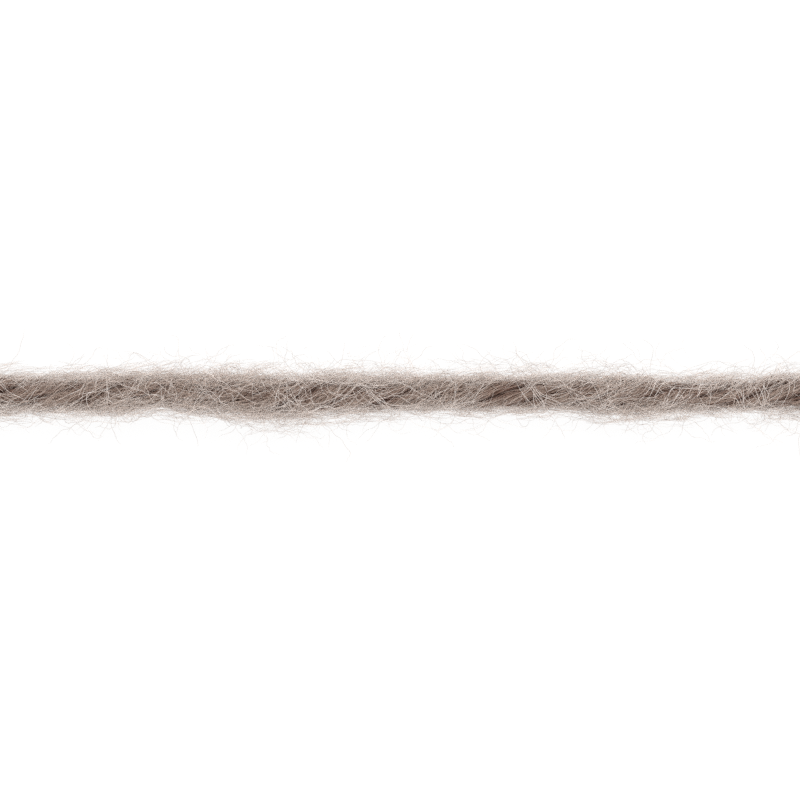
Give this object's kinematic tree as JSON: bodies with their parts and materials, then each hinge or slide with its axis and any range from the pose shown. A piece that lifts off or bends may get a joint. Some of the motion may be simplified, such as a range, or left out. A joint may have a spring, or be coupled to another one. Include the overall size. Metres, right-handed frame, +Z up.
{
  "type": "knitting yarn strand",
  "caption": "Straight cut strand of softly spun, fuzzy wool-type knitting yarn with twisted fibre bundles, nap and flyaway fibres, lying flat.",
  "frame": {"origin": "on the flattened underside of the strand, halfway along it, on the surface it lies on", "axes": "+X along the strand, +Z up, away from the surface it lies on"},
  "size_m": [0.0859, 0.0128, 0.0048],
  "materials": {
    "wool": "matte taupe wool fibre with a faint silky sheen"
  },
  "bodies": {
    "root": {"yarn_strand": "wool"}
  },
  "joints": []
}
